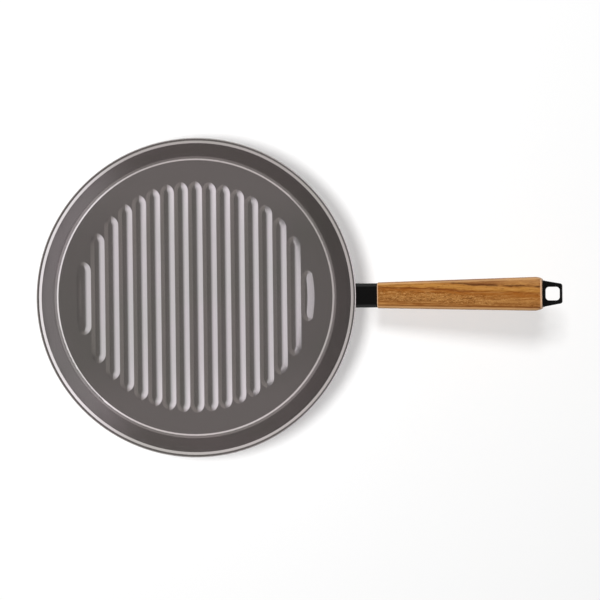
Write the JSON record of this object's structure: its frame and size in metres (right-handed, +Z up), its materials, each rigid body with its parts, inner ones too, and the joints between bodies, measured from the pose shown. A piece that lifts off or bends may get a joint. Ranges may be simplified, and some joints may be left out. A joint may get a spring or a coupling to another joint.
{
  "type": "grill pan",
  "caption": "Round grill pan with a ridged floor, sloping wall, straight wooden handle, black flame guard and a square hang loop.",
  "frame": {"origin": "centre of the underside, on the plane that the pan stands on", "axes": "+X from the pan's centre towards the handle, +Y along the grill ridges, +Z up"},
  "size_m": [0.4703, 0.286, 0.0665],
  "materials": {
    "pan_coating": "semi-gloss grey ceramic coating on cast aluminium",
    "disc_steel": "turned stainless steel",
    "fastener_steel": "plain zinc plated steel",
    "bracket_steel": "folded stainless steel sheet",
    "guard_black": "satin black coated die casting",
    "loop_black": "satin black coated die casting",
    "handle_wood": "oiled hardwood"
  },
  "bodies": {
    "root": {"pan_shell": "pan_coating", "induction_disc": "disc_steel", "weld_studs": "fastener_steel", "handle_bracket": "bracket_steel", "stud_washers": "fastener_steel", "stud_nuts": "fastener_steel", "rod_barrel": "fastener_steel", "flame_guard": "guard_black", "wood_handle": "handle_wood", "tie_rod": "fastener_steel", "tail_washer": "fastener_steel", "tail_spring": "fastener_steel", "hang_loop": "loop_black", "rod_pin": "fastener_steel"}
  },
  "joints": []
}
